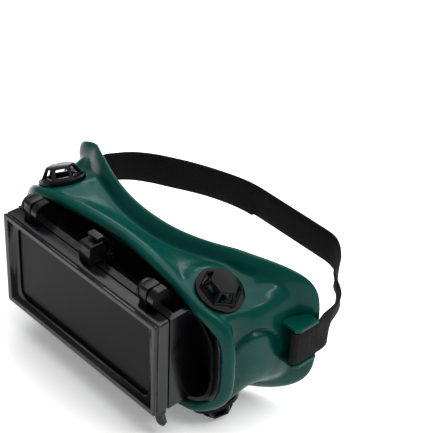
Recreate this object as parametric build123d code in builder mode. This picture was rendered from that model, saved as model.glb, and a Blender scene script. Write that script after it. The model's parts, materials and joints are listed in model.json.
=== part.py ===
"""Flip-front welding goggles with a soft moulded mask, in millimetres.

The origin is the centre of the flip frame's front rim. X runs to the wearer's left,
Y runs back towards the face, and Z is up.
"""

import os
from math import cos, copysign, exp, pi, sin

from build123d import *

# Welding plates: the standard 2 x 4 1/4 inch size
PLATE_W = 108.0
PLATE_H = 50.8
PLATE_GAP = 0.4
PLATE_LAP = 1.6
COVER_T = 1.0
SHADE_T = 3.0
CLEAR_T = 2.0

# Flip frame: the hinged front box
FRAME_SIDE = 5.6
FRAME_EDGE = 2.7
FRAME_W = PLATE_W + 2 * (PLATE_GAP + FRAME_SIDE)
FRAME_H = PLATE_H + 2 * (PLATE_GAP + FRAME_EDGE)
RIM_W = 3.0
RECESS_DEPTH = 3.0
LEDGE_T = 1.2
PLATE_SHIM = 0.1
RETAINER_T = 0.7
RETAINER_W = 3.5
FLIP_EDGE_R = 0.5
RIM_GROOVE_Y = 1.6
RIM_GROOVE_W = 0.7
RIM_GROOVE_DEPTH = 0.5
SHUT_GAP = 0.5

# Fixed frame: the box behind the flip frame, and the tray that fills the mask's front
FIXED_WALL = 3.0
FIXED_LEDGE_T = 0.9
GASKET_T = 0.6
GASKET_W = 2.5
SNAP_FRAME_T = 1.0
TUNNEL_H = PLATE_H - 10.8
TUNNEL_WALL = 2.0
TRAY_HALF_W = FRAME_W / 2 + 15.0
TRAY_HALF_H = FRAME_H / 2 + 6.0
TRAY_CENTRE_Z = -2.5
TRAY_FRONT_Y = 24.0
TRAY_DEPTH = 13.0
TRAY_WALL = 2.0
TRAY_TAPER = 5.0
BOX_BEHIND_LIP = 5.0
TONGUE_W = 2.4
TONGUE_T = 2.0
TONGUE_BACK = 1.5
FIT_GAP = 0.15
AIR_SLOT_L = 9.5
AIR_SLOT_H = 8.0
AIR_SLOT_X = -11.0

# Hinges: a block on the flip frame beside a knuckle on the fixed frame
HINGE_SPREAD = FRAME_W - 29.4
BARREL_R = 5.5
HINGE_Y = 11.0
HINGE_RISE = 6.0
BLOCK_L = 7.2
KNUCKLE_L = 4.2
KNUCKLE_END = 1.2
WASHER_T = 0.6
SIDE_GAP = 0.2
PIN_R = 1.5
PIN_FIT = 0.05
BLOCK_FRONT = 5.2
BLOCK_FLAT = 3.4
BLOCK_EDGE = 1.2
FOOT_INSET = 2.4
GROOVE_W = 0.7
GROOVE_DEPTH = 0.9
BRACKET_BACK = 7.8

# Centre latch
LATCH_BLOCK_L = 8.4
LATCH_L = 7.8
LATCH_PIVOT_BACK = 7.4
LATCH_PIVOT_RISE = 0.5
LATCH_EAR_T = 1.8
LATCH_EAR_R = 2.4
LATCH_CLEAR = 1.6
LATCH_T = 1.4
LATCH_NOSE = 4.0
LATCH_ARM_FRONT = 7.5
LATCH_PIN_R = 1.0

# Lift tab under the flip frame
TAB_W = 5.0
TAB_L = 10.5
TAB_T = 2.4
TAB_INSET = 3.2
TAB_BOSS_H = 2.4
TAB_TILT = 16.0
TAB_LEAN = 12.0
TAB_RIB_COUNT = 3
TAB_RIB_R = 0.35

# Mask: half-width, top and bottom at the front lip, the waist and the face seal
MASK_WALL = 2.5
LIP_HALF_W = TRAY_HALF_W + 7.0
LIP_TOP = TRAY_CENTRE_Z + TRAY_HALF_H + 6.0
LIP_BOTTOM = TRAY_CENTRE_Z - TRAY_HALF_H - 5.0
LIP_FRONT_Y = 23.0
LIP_DEPTH = 6.0
WAIST_HALF_W = LIP_HALF_W - 3.0
WAIST_TOP = LIP_TOP - 8.5
WAIST_BOTTOM = LIP_BOTTOM + 6.0
WAIST_Y = 40.0
WAIST_NOSE = 8.0
SEAL_HALF_W = LIP_HALF_W + 7.0
SEAL_TOP = 39.0
SEAL_BOTTOM = -48.0
SEAL_Y = 51.0
SEAL_RADIUS = 140.0
SEAL_T = 2.5
SEAL_FLANGE = 10.0
BODY_BACK_HALF_W = LIP_HALF_W + 1.0
BODY_BACK_TOP = 33.0
BODY_BACK_BOTTOM = -40.0
BODY_BACK_NOSE = 24.0
NOSE_HALF_W = 17.0
SEAL_NOSE = 20.0
CORNER_POWER = 3.4
OUTLINE_POINTS = 28

# Vents: two on top and two below
VENT_X = 61.0
VENT_Y = 39.5
VENT_TOP_Z = 31.0
VENT_BOTTOM_Z = -38.0
VENT_AXIS_X = 0.39
VENT_AXIS_Y = 0.09
VENT_AXIS_Z = 0.91
VENT_R = 12.7
VENT_RIM_T = 1.8
VENT_H = 8.5
VENT_FOOT_R = 11.4
VENT_CROWN_R = 7.4
VENT_WALL = 1.2
VENT_SIDES = 6
VENT_WINDOW_W = 8.0
VENT_WINDOW_H = 4.4
VENT_WINDOW_ANGLE = 75.0
VENT_TUBE_R = 7.0
VENT_TUBE_WALL = 1.2
VENT_TUBE_L = 9.0
VENT_LIP_R = 8.2
VENT_LIP_T = 1.4
VENT_SEAT_R = 10.4
VENT_SEAT_T = 1.2
VENT_BAR_W = 1.2
VENT_PAD_R = 14.0
VENT_PAD_H = 8.0
VENT_FIT = 0.1
VENT_SINK_GAP = 0.5

# Strap lugs and head strap
STRAP_W = 20.0
STRAP_T = 1.4
STRAP_CENTRE_Z = 0.0
STRAP_GAP = 0.4
LUG_BAR_X = LIP_HALF_W + 6.4
LUG_BAR_T = 2.2
LUG_FRONT_Y = 65.0
LUG_BACK_Y = 78.0
LUG_FIN_LEAD = 3.0
LUG_FIN_X = LIP_HALF_W + 10.6
LUG_FIN_T = 2.0
LUG_ROOT_X = LIP_HALF_W - 4.0
STRAP_BACK_Y = 137.5
STRAP_END_Y = 75.0
SLIDER_Y = 83.6
SLIDER_L = 8.4
SLIDER_T = 3.2
SLIDER_BAR = 1.6
SLIDER_BAR_Y = 1.8
SLIDER_GAP = 0.2

# Places worked out from the sizes above
FLIP_DEPTH = RECESS_DEPTH + LEDGE_T + COVER_T + PLATE_SHIM + SHADE_T + RETAINER_T
FIXED_FRONT = FLIP_DEPTH + SHUT_GAP
LEDGE_FRONT = FIXED_FRONT + SNAP_FRAME_T + CLEAR_T + GASKET_T
FLANGE_BACK = LEDGE_FRONT + FIXED_LEDGE_T
TOP_Z = FRAME_H / 2
HINGE_Z = TOP_Z + HINGE_RISE
TRAY_BACK = TRAY_FRONT_Y + TRAY_DEPTH
POCKET_W = PLATE_W + 2 * PLATE_GAP
POCKET_H = PLATE_H + 2 * PLATE_GAP
WINDOW_W = PLATE_W - 2 * PLATE_LAP
WINDOW_H = PLATE_H - 2 * PLATE_LAP
TUNNEL_TOP = TUNNEL_H / 2 + TUNNEL_WALL
HINGE_L = KNUCKLE_L + BLOCK_L + WASHER_T + 2 * SIDE_GAP
LATCH_PIVOT_Y = HINGE_Y + LATCH_PIVOT_BACK
LATCH_PIVOT_Z = TOP_Z + LATCH_PIVOT_RISE
STRAP_BOTTOM = STRAP_CENTRE_Z - STRAP_W / 2
STRAP_TOP = STRAP_CENTRE_Z + STRAP_W / 2

os.makedirs("parts", exist_ok=True)


def save(block, name):
    """Label a finished piece and write it under its own name."""
    block.part.label = name
    export_step(block.part, f"parts/{name}.step")


def upright(y):
    """A sketch plane facing back, with its own X along X and its own Y along Z."""
    return Plane(origin=(0, y, 0), x_dir=(1, 0, 0), z_dir=(0, -1, 0))


def across(x):
    """A sketch plane facing X, with its own X along Y and its own Y along Z."""
    return Plane(origin=(x, 0, 0), x_dir=(0, 1, 0), z_dir=(1, 0, 0))


def outline_points(half_w, top, bottom, notch=0.0):
    """Points round a squared-off oval, with a nose arch of the given height below."""
    mid = (top + bottom) / 2
    half_h = (top - bottom) / 2
    points = []
    for step in range(OUTLINE_POINTS):
        turn = 2 * pi * (step + 0.5) / OUTLINE_POINTS
        x = half_w * copysign(abs(cos(turn)) ** (2 / CORNER_POWER), cos(turn))
        z = mid + half_h * copysign(abs(sin(turn)) ** (2 / CORNER_POWER), sin(turn))
        if sin(turn) < 0:
            z += notch * exp(-((x / NOSE_HALF_W) ** 2))
        points.append((x, z))
    return points


def oval(half_w, top, bottom, notch=0.0, mode=Mode.ADD):
    """Add a squared-off oval to the current sketch, or cut it out."""
    with BuildLine() as curve:
        Spline(*outline_points(half_w, top, bottom, notch), periodic=True)
    make_face(curve.line.edges(), mode=mode)


def oval_loft(sections, mode=Mode.ADD):
    """Loft squared-off ovals, each a depth with half-width, top, bottom and nose arch."""
    sketches = []
    for y, half_w, top, bottom, notch in sections:
        with BuildSketch(upright(y)) as section:
            oval(half_w, top, bottom, notch)
        sketches.append(section.sketch)
    loft(sketches, mode=mode)


def tray_oval(grow=0.0, mode=Mode.ADD):
    """The tray's front outline, which the mask's front opening also follows."""
    top = TRAY_CENTRE_Z + TRAY_HALF_H + grow
    bottom = TRAY_CENTRE_Z - TRAY_HALF_H - grow
    oval(TRAY_HALF_W + grow, top, bottom, mode=mode)


def tray_loft(grow, back, mode=Mode.ADD):
    """The tray's tapered form, grown all round, from its front to a given depth."""
    sections = []
    for y, taper in ((TRAY_FRONT_Y, 0), (back, TRAY_TAPER)):
        half_w = TRAY_HALF_W + grow - taper
        half_h = TRAY_HALF_H + grow - 2 * taper
        sections.append((y, half_w, TRAY_CENTRE_Z + half_h, TRAY_CENTRE_Z - half_h, 0))
    oval_loft(sections, mode)


def vent_places():
    """Name, plane and side of each vent, with the plane's Z out of the mask."""
    places = []
    for level, z, up in (("top", VENT_TOP_Z, 1), ("bottom", VENT_BOTTOM_Z, -1)):
        for side, sign in (("left", -1), ("right", 1)):
            out = (sign * VENT_AXIS_X, VENT_AXIS_Y, up * VENT_AXIS_Z)
            spot = (sign * VENT_X, VENT_Y, z)
            seat = Plane(origin=spot, x_dir=(1, 0, -out[0] / out[2]), z_dir=out)
            places.append((f"{level}_{side}", seat))
    return places


# Flip frame: rim, recess, ledge and plate pocket, open at the back
with BuildPart() as flip_frame:
    with BuildSketch(upright(FLIP_DEPTH)):
        Rectangle(FRAME_W, FRAME_H)
    extrude(amount=FLIP_DEPTH)
    fillet(flip_frame.edges().filter_by(Axis.Y), radius=3 * FLIP_EDGE_R)
    with BuildSketch(upright(RECESS_DEPTH)):
        Rectangle(FRAME_W - 2 * RIM_W, FRAME_H - 2 * RIM_W)
    extrude(amount=RECESS_DEPTH, mode=Mode.SUBTRACT)
    with BuildSketch(upright(FLIP_DEPTH)):
        RectangleRounded(WINDOW_W, WINDOW_H, 2 * RIM_W)
    extrude(amount=FLIP_DEPTH, mode=Mode.SUBTRACT)
    with BuildSketch(upright(FLIP_DEPTH)):
        Rectangle(POCKET_W, POCKET_H)
    extrude(amount=FLIP_DEPTH - RECESS_DEPTH - LEDGE_T, mode=Mode.SUBTRACT)
    fillet(flip_frame.faces().sort_by(Axis.Y)[0].outer_wire().edges(), radius=FLIP_EDGE_R)
    fillet(flip_frame.faces().sort_by(Axis.Y)[-1].outer_wire().edges(), radius=FLIP_EDGE_R)
    with BuildSketch(upright(RIM_GROOVE_Y + RIM_GROOVE_W)):
        Rectangle(2 * FRAME_W, 2 * FRAME_H)
        RectangleRounded(
            FRAME_W - 2 * RIM_GROOVE_DEPTH,
            FRAME_H - 2 * RIM_GROOVE_DEPTH,
            3 * FLIP_EDGE_R - RIM_GROOVE_DEPTH,
            mode=Mode.SUBTRACT,
        )
    extrude(amount=RIM_GROOVE_W, mode=Mode.SUBTRACT)
save(flip_frame, "flip_frame")

# Plates of the flip frame, from front to back
cover_front = RECESS_DEPTH + LEDGE_T
for plate_name, plate_front, plate_t in (
    ("cover_plate", cover_front, COVER_T),
    ("shade_plate", cover_front + COVER_T + PLATE_SHIM, SHADE_T),
):
    with BuildPart() as plate:
        with BuildSketch(upright(plate_front + plate_t)):
            Rectangle(PLATE_W, PLATE_H)
        extrude(amount=plate_t)
    save(plate, plate_name)

# Retaining ring that keeps the plates in the flip frame
with BuildPart() as flip_retainer:
    with BuildSketch(upright(FLIP_DEPTH)):
        Rectangle(POCKET_W, POCKET_H)
        Rectangle(POCKET_W - 2 * RETAINER_W, POCKET_H - 2 * RETAINER_W, mode=Mode.SUBTRACT)
    extrude(amount=RETAINER_T)
save(flip_retainer, "flip_retainer")


def flip_block_profile():
    """Side view of a flat-topped barrel on the flip frame, square in front."""
    top = HINGE_Z + BARREL_R
    front = HINGE_Y - BLOCK_FRONT
    with Locations((HINGE_Y, HINGE_Z)):
        Circle(BARREL_R)
    with BuildLine() as outline:
        Polyline(
            (front, TOP_Z),
            (front, top - BLOCK_EDGE),
            (front + BLOCK_EDGE, top),
            (HINGE_Y + BLOCK_FLAT, top),
            (HINGE_Y + BARREL_R, HINGE_Z),
            (FLIP_DEPTH - FLIP_EDGE_R, TOP_Z),
            close=True,
        )
    make_face(outline.line.edges())


def flip_block(name, start, length, foot_inset, bored):
    """A block on the flip frame's top, turning about the hinge axis."""
    with BuildPart() as block:
        with BuildSketch(across(start + foot_inset)):
            flip_block_profile()
        extrude(amount=length - foot_inset)
        if bored:
            with BuildSketch(across(start)):
                with Locations((HINGE_Y, HINGE_Z)):
                    Circle(BARREL_R)
            extrude(amount=foot_inset - GROOVE_W)
            with BuildSketch(across(start)):
                with Locations((HINGE_Y, HINGE_Z)):
                    Circle(BARREL_R - GROOVE_DEPTH)
            extrude(amount=foot_inset)
            with BuildSketch(across(start)):
                with Locations((HINGE_Y, HINGE_Z)):
                    Circle(PIN_R + PIN_FIT)
            extrude(amount=length, mode=Mode.SUBTRACT)
        chamfer(block.faces().sort_by(Axis.X)[-1].outer_wire().edges(), length=BLOCK_EDGE / 4)
    save(block, name)


# Hinges: flip block, washer and fixed knuckle side by side on one pin
knuckle_starts = []
for side, sign in (("left", -1), ("right", 1)):
    hinge_start = sign * HINGE_SPREAD / 2 - HINGE_L / 2
    washer_start = hinge_start + BLOCK_L + SIDE_GAP
    knuckle_start = washer_start + WASHER_T + SIDE_GAP
    knuckle_starts.append(knuckle_start)
    flip_block(f"hinge_block_{side}", hinge_start, BLOCK_L, FOOT_INSET, bored=True)
    with BuildPart() as hinge_washer:
        with BuildSketch(across(washer_start)):
            with Locations((HINGE_Y, HINGE_Z)):
                Circle(BARREL_R - GROOVE_DEPTH)
                Circle(PIN_R + PIN_FIT, mode=Mode.SUBTRACT)
        extrude(amount=WASHER_T)
    save(hinge_washer, f"hinge_washer_{side}")
    with BuildPart() as hinge_pin:
        with BuildSketch(across(hinge_start)):
            with Locations((HINGE_Y, HINGE_Z)):
                Circle(PIN_R)
        extrude(amount=HINGE_L - KNUCKLE_END)
    save(hinge_pin, f"hinge_pin_{side}")

# Latch block: a plain cam on the flip frame between the hinges
flip_block("latch_block", -LATCH_BLOCK_L / 2, LATCH_BLOCK_L, 0, bored=False)

# Fixed frame: box, lens ledge, tray, tongue, knuckles and latch ears
latch_ear_inner = LATCH_L / 2 + SIDE_GAP
box_back = TRAY_FRONT_Y + BOX_BEHIND_LIP
with BuildPart() as side_hollows:
    tray_loft(-TRAY_WALL, TRAY_BACK - TRAY_WALL)
    with BuildSketch(upright(TRAY_BACK)):
        Rectangle(FRAME_W, 2 * FRAME_H)
    extrude(amount=TRAY_DEPTH, mode=Mode.SUBTRACT)

with BuildPart() as fixed_frame:
    tray_loft(0, TRAY_BACK)
    with BuildSketch(upright(TRAY_FRONT_Y + TONGUE_BACK + TONGUE_T)):
        tray_oval(TONGUE_W)
    extrude(amount=TONGUE_T)
    add(side_hollows.part, mode=Mode.SUBTRACT)
    with BuildSketch(upright(box_back)):
        RectangleRounded(FRAME_W, FRAME_H, FLIP_EDGE_R)
    extrude(amount=box_back - FIXED_FRONT)
    fillet(fixed_frame.faces().sort_by(Axis.Y)[0].outer_wire().edges(), radius=FLIP_EDGE_R / 2)
    with BuildSketch(upright(LEDGE_FRONT)):
        Rectangle(POCKET_W, POCKET_H)
    extrude(amount=LEDGE_FRONT - FIXED_FRONT, mode=Mode.SUBTRACT)
    with BuildSketch(upright(TRAY_BACK)):
        Rectangle(WINDOW_W, TUNNEL_H)
    extrude(amount=TRAY_BACK - LEDGE_FRONT, mode=Mode.SUBTRACT)
    with BuildSketch(upright(TRAY_BACK)):
        Rectangle(POCKET_W, 2 * FRAME_H)
    extrude(amount=TRAY_BACK - box_back, mode=Mode.SUBTRACT)
    with BuildSketch(upright(TRAY_FRONT_Y)):
        Rectangle(FRAME_W - 2 * FIXED_WALL, 2 * FRAME_H)
        Rectangle(FRAME_W, 2 * TUNNEL_TOP, mode=Mode.SUBTRACT)
    extrude(amount=TRAY_FRONT_Y - FLANGE_BACK, mode=Mode.SUBTRACT)
    for start in knuckle_starts:
        with BuildSketch(across(start)):
            with Locations((HINGE_Y, HINGE_Z)):
                Circle(BARREL_R)
            with BuildLine() as bracket:
                Polyline(
                    (FIXED_FRONT, HINGE_Z),
                    (HINGE_Y, HINGE_Z + BARREL_R),
                    (HINGE_Y + BLOCK_FLAT, HINGE_Z + BARREL_R),
                    (HINGE_Y + BRACKET_BACK, HINGE_Z),
                    (HINGE_Y + BRACKET_BACK, TUNNEL_TOP - TUNNEL_WALL / 2),
                    (FLANGE_BACK - FIXED_LEDGE_T, TUNNEL_TOP - TUNNEL_WALL / 2),
                    (FLANGE_BACK - FIXED_LEDGE_T, POCKET_H / 2 + PLATE_GAP),
                    (FIXED_FRONT, POCKET_H / 2 + PLATE_GAP),
                    close=True,
                )
            make_face(bracket.line.edges())
        extrude(amount=KNUCKLE_L)
        with BuildSketch(across(start)):
            with Locations((HINGE_Y, HINGE_Z)):
                Circle(PIN_R)
        extrude(amount=KNUCKLE_L - KNUCKLE_END, mode=Mode.SUBTRACT)
    for ear_start in (-latch_ear_inner - LATCH_EAR_T, latch_ear_inner):
        with BuildSketch(across(ear_start)):
            with Locations((LATCH_PIVOT_Y, LATCH_PIVOT_Z)):
                Circle(LATCH_EAR_R)
            with Locations((LATCH_PIVOT_Y, (TUNNEL_TOP + LATCH_PIVOT_Z - TUNNEL_WALL / 2) / 2)):
                Rectangle(2 * LATCH_EAR_R, LATCH_PIVOT_Z - TUNNEL_TOP + TUNNEL_WALL / 2)
            with Locations((LATCH_PIVOT_Y, LATCH_PIVOT_Z)):
                Circle(LATCH_PIN_R, mode=Mode.SUBTRACT)
        extrude(amount=LATCH_EAR_T)
    with BuildSketch(upright(box_back)):
        with Locations((AIR_SLOT_X, TUNNEL_H / 2 + AIR_SLOT_H / 2 - TUNNEL_WALL / 4)):
            Rectangle(AIR_SLOT_L, AIR_SLOT_H)
    extrude(amount=box_back - TRAY_FRONT_Y, mode=Mode.SUBTRACT)
save(fixed_frame, "fixed_frame")

# Snap-in frame, clear lens and gasket, from front to back
with BuildPart() as lens_retainer:
    with BuildSketch(upright(FIXED_FRONT + SNAP_FRAME_T)):
        Rectangle(POCKET_W - 2 * FIT_GAP, POCKET_H - 2 * FIT_GAP)
        Rectangle(POCKET_W - 2 * RETAINER_W, POCKET_H - 2 * RETAINER_W, mode=Mode.SUBTRACT)
    extrude(amount=SNAP_FRAME_T)
save(lens_retainer, "lens_retainer")

with BuildPart() as clear_lens:
    with BuildSketch(upright(FIXED_FRONT + SNAP_FRAME_T + CLEAR_T)):
        Rectangle(PLATE_W, PLATE_H)
    extrude(amount=CLEAR_T)
save(clear_lens, "clear_lens")

with BuildPart() as lens_gasket:
    with BuildSketch(upright(LEDGE_FRONT)):
        Rectangle(PLATE_W, PLATE_H)
        Rectangle(PLATE_W - 2 * GASKET_W, PLATE_H - 2 * GASKET_W, mode=Mode.SUBTRACT)
    extrude(amount=GASKET_T)
save(lens_gasket, "lens_gasket")

# Latch lever: a spring-loaded arm with its nose reaching over the cam
nose_z = HINGE_Z + BARREL_R + LATCH_CLEAR
arm_front = HINGE_Y + LATCH_ARM_FRONT
arm_back = LATCH_PIVOT_Y + LATCH_EAR_R - SIDE_GAP
with BuildPart() as latch_lever:
    with BuildSketch(across(-LATCH_L / 2)):
        with Locations((LATCH_PIVOT_Y, LATCH_PIVOT_Z)):
            Circle(LATCH_EAR_R - SIDE_GAP)
        with BuildLine():
            Polyline(
                (HINGE_Y, nose_z),
                (HINGE_Y, nose_z + LATCH_T),
                (HINGE_Y + LATCH_NOSE, nose_z + LATCH_T),
                (arm_back, HINGE_Z + LATCH_T),
                (arm_back, LATCH_PIVOT_Z),
                (LATCH_PIVOT_Y - LATCH_EAR_R + SIDE_GAP, LATCH_PIVOT_Z),
                (arm_front, HINGE_Z - 2 * LATCH_T),
                (arm_front, HINGE_Z + LATCH_T),
                (HINGE_Y + LATCH_NOSE - LATCH_T / 4, nose_z),
                close=True,
            )
        make_face()
        with Locations((LATCH_PIVOT_Y, LATCH_PIVOT_Z)):
            Circle(LATCH_PIN_R + PIN_FIT, mode=Mode.SUBTRACT)
    extrude(amount=LATCH_L)
save(latch_lever, "latch_lever")

latch_pin_half = latch_ear_inner + LATCH_EAR_T
with BuildPart() as latch_pin:
    with BuildSketch(across(-latch_pin_half)):
        with Locations((LATCH_PIVOT_Y, LATCH_PIVOT_Z)):
            Circle(LATCH_PIN_R)
    extrude(amount=2 * latch_pin_half)
save(latch_pin, "latch_pin")

# Lift tab: a ribbed paddle hanging from a boss at the flip frame's lower corner
tab_x = FRAME_W / 2 - TAB_INSET
tab_y = FLIP_DEPTH - TAB_INSET
with BuildPart() as lift_tab:
    with BuildSketch(Plane.XY.offset(-TOP_Z - TAB_BOSS_H)):
        with Locations((tab_x, tab_y)):
            Rectangle(TAB_W, TAB_W)
    extrude(amount=TAB_BOSS_H)
    tab_plane = Plane(
        origin=(tab_x, tab_y, -TOP_Z - TAB_BOSS_H / 2),
        x_dir=Vector(1, 0, 0).rotate(Axis.Z, TAB_LEAN),
        z_dir=Vector(0, -1, 0).rotate(Axis.X, TAB_TILT).rotate(Axis.Z, TAB_LEAN),
    )
    with BuildSketch(tab_plane.offset(-TAB_T / 2)):
        with Locations((0, -TAB_L / 2)):
            SlotOverall(TAB_L + TAB_W / 2, TAB_W, rotation=90)
    extrude(amount=TAB_T)
    for rib in range(TAB_RIB_COUNT):
        rib_x = (rib - (TAB_RIB_COUNT - 1) / 2) * TAB_W / (TAB_RIB_COUNT + 1)
        with BuildSketch(tab_plane.offset(TAB_T / 2 - TAB_RIB_R)):
            with Locations((rib_x, -TAB_L / 2 - TAB_W / 4)):
                Rectangle(2 * TAB_RIB_R, TAB_L - TAB_W / 2)
        extrude(amount=2 * TAB_RIB_R)
    with BuildSketch(Plane.XY.offset(-TOP_Z)):
        Rectangle(2 * FRAME_W, 2 * FRAME_W)
    extrude(amount=TAB_L, mode=Mode.SUBTRACT)
save(lift_tab, "lift_tab")


def mask_loft(shrink, back, mode=Mode.ADD):
    """The mask's closed form, shrunk by a wall thickness, from its lip to a given depth."""
    lip = (LIP_HALF_W - MASK_WALL, LIP_TOP - MASK_WALL, LIP_BOTTOM + MASK_WALL, 0)
    waist = (WAIST_HALF_W, WAIST_TOP, WAIST_BOTTOM, WAIST_NOSE)
    rear = (BODY_BACK_HALF_W, BODY_BACK_TOP, BODY_BACK_BOTTOM, BODY_BACK_NOSE)
    sections = []
    for y, (half_w, top, bottom, notch) in ((LIP_FRONT_Y, lip), (WAIST_Y, waist), (back, rear)):
        sections.append((y, half_w - shrink, top - shrink, bottom + shrink, notch))
    oval_loft(sections, mode)


def plan_band(near, far):
    """Plan view of the curved band between two distances in front of the face line."""
    with Locations((0, SEAL_Y + SEAL_RADIUS)):
        Circle(SEAL_RADIUS + far)
        Circle(SEAL_RADIUS + near, mode=Mode.SUBTRACT)


mask_reach = 2 * SEAL_HALF_W
seal_back = SEAL_Y + SEAL_HALF_W
wall_back = SEAL_Y + SEAL_RADIUS - (SEAL_RADIUS**2 - SEAL_HALF_W**2) ** 0.5 + SEAL_T

# Face seal: a curved flange round the face opening
with BuildPart() as face_seal:
    with BuildSketch(Plane.XY.offset(-mask_reach)):
        plan_band(0, SEAL_T)
    extrude(amount=2 * mask_reach)
    with BuildSketch(upright(seal_back)):
        oval(SEAL_HALF_W, SEAL_TOP, SEAL_BOTTOM, SEAL_NOSE)
        oval(
            SEAL_HALF_W - SEAL_FLANGE,
            SEAL_TOP - SEAL_FLANGE,
            SEAL_BOTTOM + SEAL_FLANGE,
            SEAL_NOSE,
            Mode.SUBTRACT,
        )
    extrude(amount=seal_back, mode=Mode.INTERSECT)

# Strap lugs: two fins and an upright bar on each side
with BuildPart() as strap_lugs:
    for sign in (-1, 1):
        for fin_z in (STRAP_BOTTOM - STRAP_GAP - LUG_FIN_T, STRAP_TOP + STRAP_GAP):
            with BuildSketch(Plane.XY.offset(fin_z)):
                with BuildLine():
                    Polyline(
                        (sign * LUG_ROOT_X, LUG_FRONT_Y - 2 * LUG_FIN_LEAD),
                        (sign * LUG_BAR_X, LUG_FRONT_Y - LUG_FIN_LEAD),
                        (sign * LUG_FIN_X, LUG_FRONT_Y - LUG_FIN_LEAD / 2),
                        (sign * LUG_FIN_X, LUG_BACK_Y),
                        (sign * LUG_ROOT_X, LUG_BACK_Y),
                        close=True,
                    )
                make_face()
            extrude(amount=LUG_FIN_T)
        bar_x = sign * (LUG_BAR_X + LUG_BAR_T / 2)
        with BuildSketch(Plane.XY.offset(STRAP_BOTTOM - STRAP_GAP - LUG_FIN_T)):
            with Locations((bar_x, (LUG_FRONT_Y + LUG_BACK_Y) / 2)):
                Rectangle(LUG_BAR_T, LUG_BACK_Y - LUG_FRONT_Y)
        extrude(amount=STRAP_W + 2 * STRAP_GAP + 2 * LUG_FIN_T)

with BuildPart() as mask_inside:
    mask_loft(MASK_WALL, wall_back)

with BuildPart() as mask_body:
    mask_loft(0, wall_back)
    for place_name, place in vent_places():
        with BuildSketch(place.offset(-VENT_PAD_H)):
            Circle(VENT_PAD_R)
        extrude(amount=VENT_PAD_H)
    add(strap_lugs.part)
    add(mask_inside.part, mode=Mode.SUBTRACT)
    with BuildSketch(Plane.XY.offset(-mask_reach)):
        plan_band(0, mask_reach)
    extrude(amount=2 * mask_reach, mode=Mode.INTERSECT)
    add(face_seal.part)
    with BuildSketch(upright(LIP_FRONT_Y + LIP_DEPTH)):
        oval(LIP_HALF_W, LIP_TOP, LIP_BOTTOM)
        tray_oval(FIT_GAP, Mode.SUBTRACT)
    extrude(amount=LIP_DEPTH)
    with BuildSketch(upright(TRAY_FRONT_Y + TONGUE_BACK + TONGUE_T + FIT_GAP)):
        tray_oval(TONGUE_W + FIT_GAP)
    extrude(amount=TONGUE_T + 2 * FIT_GAP, mode=Mode.SUBTRACT)
    tray_loft(FIT_GAP, TRAY_BACK, Mode.SUBTRACT)
    with BuildSketch(upright(box_back + FIT_GAP)):
        Rectangle(FRAME_W + 2 * FIT_GAP, FRAME_H + 2 * FIT_GAP)
    extrude(amount=box_back, mode=Mode.SUBTRACT)
    for place_name, place in vent_places():
        with BuildSketch(place.offset(-VENT_TUBE_L)):
            Circle(VENT_TUBE_R + VENT_FIT)
        extrude(amount=VENT_TUBE_L, mode=Mode.SUBTRACT)
        with BuildSketch(place):
            Circle(VENT_R + VENT_SINK_GAP)
        extrude(amount=VENT_H, mode=Mode.SUBTRACT)
save(mask_body, "mask_body")

# Vent seat: a flanged tube with a cross of bars in its mouth
with BuildPart() as seat_form:
    with BuildSketch():
        Circle(VENT_SEAT_R)
    extrude(amount=VENT_SEAT_T)
    with BuildSketch(Plane.XY.offset(-VENT_TUBE_L)):
        Circle(VENT_TUBE_R)
    extrude(amount=VENT_TUBE_L)
    with BuildSketch(Plane.XY.offset(-VENT_TUBE_L)):
        Circle(VENT_TUBE_R - VENT_TUBE_WALL)
        Rectangle(2 * VENT_TUBE_R, VENT_BAR_W, mode=Mode.SUBTRACT)
        Rectangle(VENT_BAR_W, 2 * VENT_TUBE_R, mode=Mode.SUBTRACT)
    extrude(amount=VENT_TUBE_L + VENT_SEAT_T, mode=Mode.SUBTRACT)

# Vent cap: a round rim under a hollow six-sided crown with a window in each facet
with BuildPart() as crown_hollow:
    with BuildSketch(Plane.XY.offset(VENT_SEAT_T)):
        RegularPolygon(VENT_FOOT_R - 2 * VENT_WALL, VENT_SIDES)
    with BuildSketch(Plane.XY.offset(VENT_H - VENT_WALL)):
        RegularPolygon(VENT_CROWN_R - VENT_WALL, VENT_SIDES)
    loft()

with BuildPart() as cap_form:
    with BuildSketch(Plane.XY.offset(VENT_RIM_T)):
        RegularPolygon(VENT_FOOT_R, VENT_SIDES)
    with BuildSketch(Plane.XY.offset(VENT_H)):
        RegularPolygon(VENT_CROWN_R, VENT_SIDES)
    loft()
    with BuildSketch():
        Circle(VENT_R)
    extrude(amount=VENT_RIM_T)
    add(crown_hollow.part, mode=Mode.SUBTRACT)
    with BuildSketch():
        Circle(VENT_SEAT_R + VENT_FIT)
    extrude(amount=VENT_SEAT_T + VENT_FIT, mode=Mode.SUBTRACT)
    window_z = (VENT_RIM_T + VENT_H) / 2
    for turn in range(VENT_SIDES):
        angle = 2 * pi * (turn + 0.5) / VENT_SIDES
        facing = (cos(angle), sin(angle), 0)
        window = Plane(origin=(0, 0, window_z), x_dir=(-sin(angle), cos(angle), 0), z_dir=facing)
        with BuildSketch(window):
            Trapezoid(VENT_WINDOW_W, VENT_WINDOW_H, VENT_WINDOW_ANGLE)
        extrude(amount=VENT_R, mode=Mode.SUBTRACT)

for place_name, place in vent_places():
    for form, piece_name in ((seat_form, "vent_seat"), (cap_form, "vent_cap")):
        with BuildPart() as vent_piece:
            with Locations(place):
                add(form.part)
        save(vent_piece, f"{piece_name}_{place_name}")

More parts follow.
